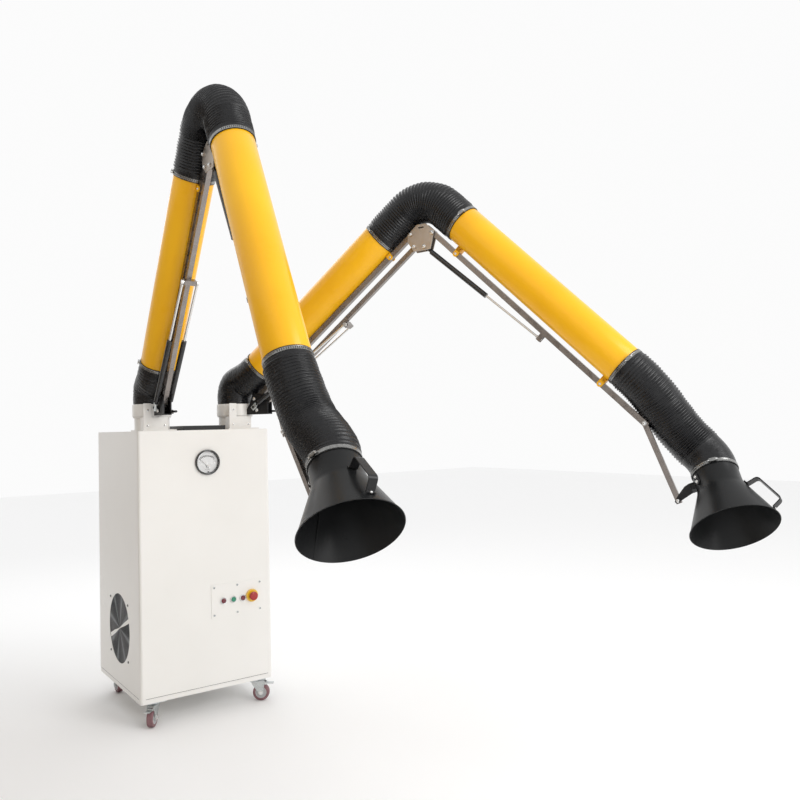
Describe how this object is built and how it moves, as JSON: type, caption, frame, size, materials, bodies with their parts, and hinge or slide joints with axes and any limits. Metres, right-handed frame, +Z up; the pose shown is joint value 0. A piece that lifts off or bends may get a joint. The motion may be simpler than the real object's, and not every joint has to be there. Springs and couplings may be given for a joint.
{
  "type": "mobile welding fume extractor",
  "caption": "Mobile welding fume extractor: a steel filter cabinet on casters carrying jointed ducted arms with parallel bars, gas springs, ribbed hoses and swivelling collecting hoods.",
  "frame": {"origin": "on the floor, under the middle of the cabinet", "axes": "+Z up, -Y towards the front with the gauge and the buttons, +X to the right when seen from the front"},
  "size_m": [1.725, 2.6762, 2.5598],
  "materials": {
    "white_paint": "satin",
    "yellow_paint": "gloss",
    "black_powder": "satin",
    "hose_rubber": "satin",
    "plated_steel": "satin",
    "zinc_steel": "satin",
    "spring_black": "gloss",
    "spring_chrome": "polished",
    "caster_rubber": "matte",
    "red_plastic": "gloss",
    "green_plastic": "gloss",
    "gauge_black": "satin",
    "filter_fabric": "matte",
    "motor_grey": "satin",
    "needle_black": "matte"
  },
  "bodies": {
    "cabinet": {"chassis": "white_paint", "cabinet_shell": "white_paint", "filter_cartridges": "filter_fabric", "fan_housing": "zinc_steel", "fan_motor": "motor_grey", "exhaust_grille": "black_powder", "pressure_gauge": "gauge_black", "control_plate": "white_paint", "cabinet_hardware": "zinc_steel", "parts_tray": "black_powder", "caster_mounts": "zinc_steel", "arm_base_housings": "white_paint"},
    "rear_door": {"rear_door": "white_paint"},
    "fan_impeller": {"fan_impeller": "zinc_steel"},
    "gauge_needle": {"gauge_needle": "needle_black"},
    "start_button": {"start_button": "green_plastic"},
    "stop_button": {"stop_button": "red_plastic"},
    "emergency_stop_button": {"emergency_stop_button": "red_plastic"},
    "front_left_fork": {"front_left_fork": "zinc_steel"},
    "front_left_wheel": {"front_left_wheel": "caster_rubber"},
    "front_left_pedal": {"front_left_pedal": "zinc_steel"},
    "front_right_fork": {"front_right_fork": "zinc_steel"},
    "front_right_wheel": {"front_right_wheel": "caster_rubber"},
    "front_right_pedal": {"front_right_pedal": "zinc_steel"},
    "rear_left_wheel": {"rear_left_wheel": "caster_rubber"},
    "rear_right_wheel": {"rear_right_wheel": "caster_rubber"},
    "left_swivel": {"left_swivel_bracket": "black_powder", "left_lower_hose": "hose_rubber"},
    "left_lower_arm": {"left_lower_tube": "yellow_paint", "left_lower_bar": "plated_steel"},
    "left_parallel": {"left_parallel_bar": "plated_steel"},
    "left_lower_cylinders": {"left_lower_spring_cylinders": "spring_black"},
    "left_lower_rods": {"left_lower_spring_rods": "spring_chrome"},
    "left_elbow": {"left_elbow_plates": "plated_steel", "left_elbow_hose": "hose_rubber"},
    "left_upper_arm": {"left_upper_tube": "yellow_paint", "left_upper_bar": "plated_steel"},
    "left_upper_cylinder": {"left_upper_spring_cylinder": "spring_black"},
    "left_upper_rod": {"left_upper_spring_rod": "spring_chrome"},
    "left_wrist": {"left_wrist_bar": "plated_steel", "left_wrist_hose": "hose_rubber"},
    "left_yoke": {"left_hood_yoke": "plated_steel"},
    "left_hood": {"left_hood": "black_powder"},
    "right_swivel": {"right_swivel_bracket": "black_powder", "right_lower_hose": "hose_rubber"},
    "right_lower_arm": {"right_lower_tube": "yellow_paint", "right_lower_bar": "plated_steel"},
    "right_parallel": {"right_parallel_bar": "plated_steel"},
    "right_lower_cylinders": {"right_lower_spring_cylinders": "spring_black"},
    "right_lower_rods": {"right_lower_spring_rods": "spring_chrome"},
    "right_elbow": {"right_elbow_plates": "plated_steel", "right_elbow_hose": "hose_rubber"},
    "right_upper_arm": {"right_upper_tube": "yellow_paint", "right_upper_bar": "plated_steel"},
    "right_upper_cylinder": {"right_upper_spring_cylinder": "spring_black"},
    "right_upper_rod": {"right_upper_spring_rod": "spring_chrome"},
    "right_wrist": {"right_wrist_bar": "plated_steel", "right_wrist_hose": "hose_rubber"},
    "right_yoke": {"right_hood_yoke": "plated_steel"},
    "right_hood": {"right_hood": "black_powder"}
  },
  "joints": [
    {"name": "fan_spin", "type": "hinge", "parent": "cabinet", "child": "fan_impeller", "pos_m": [0, 0, 0.33], "axis": [0, 0, 1], "continuous": true},
    {"name": "rear_door_hinge", "type": "hinge", "parent": "cabinet", "child": "rear_door", "pos_m": [0.2975, 0.328, 0.69], "axis": [0, 0, -1], "range_deg": [0, 110]},
    {"name": "gauge_needle_turn", "type": "hinge", "parent": "cabinet", "child": "gauge_needle", "pos_m": [0.003, -0.318, 1.102], "axis": [0, 1, 0], "range_deg": [0, 90], "stiffness_Nm_per_rad": 0.002},
    {"name": "start_press", "type": "slide", "parent": "cabinet", "child": "start_button", "axis": [0, 1, 0], "range_m": [0, 0.003], "stiffness_N_per_m": 400},
    {"name": "stop_press", "type": "slide", "parent": "cabinet", "child": "stop_button", "axis": [0, 1, 0], "range_m": [0, 0.003], "stiffness_N_per_m": 400},
    {"name": "emergency_stop_press", "type": "slide", "parent": "cabinet", "child": "emergency_stop_button", "axis": [0, 1, 0], "range_m": [0, 0.004], "stiffness_N_per_m": 600},
    {"name": "front_left_caster_swivel", "type": "hinge", "parent": "cabinet", "child": "front_left_fork", "pos_m": [-0.236, -0.278, 0.09], "axis": [0, 0, 1], "continuous": true},
    {"name": "front_left_wheel_spin", "type": "hinge", "parent": "front_left_fork", "child": "front_left_wheel", "pos_m": [-0.25447, -0.30164, 0.0385], "axis": [-0.788, 0.6157, 0], "continuous": true},
    {"name": "front_left_brake", "type": "hinge", "parent": "front_left_fork", "child": "front_left_pedal", "pos_m": [-0.26925, -0.32055, 0.079], "axis": [0.788, -0.6157, 0], "range_deg": [0, 15]},
    {"name": "front_right_caster_swivel", "type": "hinge", "parent": "cabinet", "child": "front_right_fork", "pos_m": [0.236, -0.278, 0.09], "axis": [0, 0, 1], "continuous": true},
    {"name": "front_right_wheel_spin", "type": "hinge", "parent": "front_right_fork", "child": "front_right_wheel", "pos_m": [0.26058, -0.29521, 0.0385], "axis": [-0.5736, -0.8192, 0], "continuous": true},
    {"name": "front_right_brake", "type": "hinge", "parent": "front_right_fork", "child": "front_right_pedal", "pos_m": [0.28023, -0.30897, 0.079], "axis": [0.5736, 0.8192, 0], "range_deg": [0, 15]},
    {"name": "rear_left_wheel_spin", "type": "hinge", "parent": "cabinet", "child": "rear_left_wheel", "pos_m": [-0.236, 0.258, 0.0385], "axis": [1, 0, 0], "continuous": true},
    {"name": "rear_right_wheel_spin", "type": "hinge", "parent": "cabinet", "child": "rear_right_wheel", "pos_m": [0.236, 0.258, 0.0385], "axis": [1, 0, 0], "continuous": true},
    {"name": "left_arm_swivel", "type": "hinge", "parent": "cabinet", "child": "left_swivel", "pos_m": [-0.2, -0.182, 1.343], "axis": [0, 0, 1], "range_deg": [-6, 28]},
    {"name": "left_shoulder", "type": "hinge", "parent": "left_swivel", "child": "left_lower_arm", "pos_m": [-0.19911, -0.31, 1.41], "axis": [-1, -0.007, 0], "range_deg": [-20, 20], "deforming": ["left_lower_hose"]},
    {"name": "left_parallel_turn", "type": "hinge", "parent": "left_swivel", "child": "left_parallel", "pos_m": [-0.199, -0.325, 1.356], "axis": [-1, -0.007, 0], "range_deg": [-20.5, 20.5]},
    {"name": "left_elbow_level", "type": "hinge", "parent": "left_lower_arm", "child": "left_elbow", "pos_m": [-0.19522, -0.86715, 2.32349], "axis": [-1, -0.007, 0], "range_deg": [-20.5, 20.5]},
    {"name": "left_lower_spring_turn", "type": "hinge", "parent": "left_swivel", "child": "left_lower_cylinders", "pos_m": [-0.19906, -0.316, 1.37], "axis": [-1, -0.007, 0], "range_deg": [-20.7, 20.7]},
    {"name": "left_lower_spring_stroke", "type": "slide", "parent": "left_lower_cylinders", "child": "left_lower_rods", "axis": [0.004, -0.5774, 0.8165], "range_m": [-0.0059, 0.0059]},
    {"name": "left_elbow_bend", "type": "hinge", "parent": "left_elbow", "child": "left_upper_arm", "pos_m": [-0.19451, -0.96764, 2.32049], "axis": [-1, -0.007, 0], "range_deg": [-15, 25], "deforming": ["left_elbow_hose"]},
    {"name": "left_upper_spring_turn", "type": "hinge", "parent": "left_elbow", "child": "left_upper_cylinder", "pos_m": [-0.19478, -0.92914, 2.26449], "axis": [-1, -0.007, 0], "range_deg": [-16.2, 26.7]},
    {"name": "left_upper_spring_stroke", "type": "slide", "parent": "left_upper_cylinder", "child": "left_upper_rod", "axis": [0.0033, -0.4737, -0.8807], "range_m": [-0.0162, 0.0267]},
    {"name": "left_wrist_bend", "type": "hinge", "parent": "left_upper_arm", "child": "left_wrist", "pos_m": [-0.19095, -1.47829, 1.25561], "axis": [-1, -0.007, 0], "range_deg": [-20, 20], "deforming": ["left_wrist_hose"]},
    {"name": "left_hood_tilt", "type": "hinge", "parent": "left_wrist", "child": "left_yoke", "pos_m": [-0.1896, -1.67128, 1.01557], "axis": [-1, -0.007, 0], "range_deg": [-25, 25]},
    {"name": "left_hood_roll", "type": "hinge", "parent": "left_yoke", "child": "left_hood", "pos_m": [-0.1889, -1.77252, 1.13472], "axis": [0.0054, -0.7694, 0.6388], "range_deg": [-25, 25]},
    {"name": "right_arm_swivel", "type": "hinge", "parent": "cabinet", "child": "right_swivel", "pos_m": [0.2, -0.182, 1.343], "axis": [0, 0, 1], "range_deg": [-15, 150]},
    {"name": "right_shoulder", "type": "hinge", "parent": "right_swivel", "child": "right_lower_arm", "pos_m": [0.26194, -0.29402, 1.41], "axis": [-0.8751, -0.4839, 0], "range_deg": [-20, 20], "deforming": ["right_lower_hose"]},
    {"name": "right_parallel_turn", "type": "hinge", "parent": "right_swivel", "child": "right_parallel", "pos_m": [0.2692, -0.30714, 1.356], "axis": [-0.8751, -0.4839, 0], "range_deg": [-20.5, 20.5]},
    {"name": "right_elbow_level", "type": "hinge", "parent": "right_lower_arm", "child": "right_elbow", "pos_m": [0.66324, -1.01977, 2.08613], "axis": [-0.8751, -0.4839, 0], "range_deg": [-20.5, 20.5]},
    {"name": "right_lower_spring_turn", "type": "hinge", "parent": "right_swivel", "child": "right_lower_cylinders", "pos_m": [0.26484, -0.29927, 1.37], "axis": [-0.8751, -0.4839, 0], "range_deg": [-20.5, 20.5]},
    {"name": "right_lower_spring_stroke", "type": "slide", "parent": "right_lower_cylinders", "child": "right_lower_rods", "axis": [0.3955, -0.7152, 0.5763], "range_m": [-0.0063, 0.0063]},
    {"name": "right_elbow_bend", "type": "hinge", "parent": "right_elbow", "child": "right_upper_arm", "pos_m": [0.71187, -1.10772, 2.08313], "axis": [-0.8751, -0.4839, 0], "range_deg": [-15, 25], "deforming": ["right_elbow_hose"]},
    {"name": "right_upper_spring_turn", "type": "hinge", "parent": "right_elbow", "child": "right_upper_cylinder", "pos_m": [0.69324, -1.07402, 2.02713], "axis": [-0.8751, -0.4839, 0], "range_deg": [-15.7, 25.8]},
    {"name": "right_upper_spring_stroke", "type": "slide", "parent": "right_upper_cylinder", "child": "right_upper_rod", "axis": [0.3637, -0.6577, -0.6597], "range_m": [-0.0178, 0.0293]},
    {"name": "right_wrist_bend", "type": "hinge", "parent": "right_upper_arm", "child": "right_wrist", "pos_m": [1.11912, -1.84425, 1.25462], "axis": [-0.8751, -0.4839, 0], "range_deg": [-20, 20], "deforming": ["right_wrist_hose"]},
    {"name": "right_hood_tilt", "type": "hinge", "parent": "right_wrist", "child": "right_yoke", "pos_m": [1.17278, -1.94128, 0.96727], "axis": [-0.8751, -0.4839, 0], "range_deg": [-25, 25]},
    {"name": "right_hood_roll", "type": "hinge", "parent": "right_yoke", "child": "right_hood", "pos_m": [1.23853, -2.0602, 1.0446], "axis": [0.4556, -0.8239, 0.3371], "range_deg": [-25, 25]}
  ],
  "couplings": [
    {"joint": "left_parallel_turn", "follows": "left_shoulder", "ratio": 1},
    {"joint": "left_elbow_level", "follows": "left_shoulder", "ratio": -1},
    {"joint": "left_lower_spring_turn", "follows": "left_shoulder", "ratio": 1.01},
    {"joint": "left_lower_spring_stroke", "follows": "left_shoulder", "m_per_rad": -0.0155},
    {"joint": "left_upper_spring_turn", "follows": "left_elbow_bend", "ratio": 1.045},
    {"joint": "left_upper_spring_stroke", "follows": "left_elbow_bend", "m_per_rad": 0.06},
    {"joint": "right_parallel_turn", "follows": "right_shoulder", "ratio": 1},
    {"joint": "right_elbow_level", "follows": "right_shoulder", "ratio": -1},
    {"joint": "right_lower_spring_turn", "follows": "right_shoulder", "ratio": 1},
    {"joint": "right_lower_spring_stroke", "follows": "right_shoulder", "m_per_rad": -0.0165},
    {"joint": "right_upper_spring_turn", "follows": "right_elbow_bend", "ratio": 1.01},
    {"joint": "right_upper_spring_stroke", "follows": "right_elbow_bend", "m_per_rad": 0.066}
  ]
}
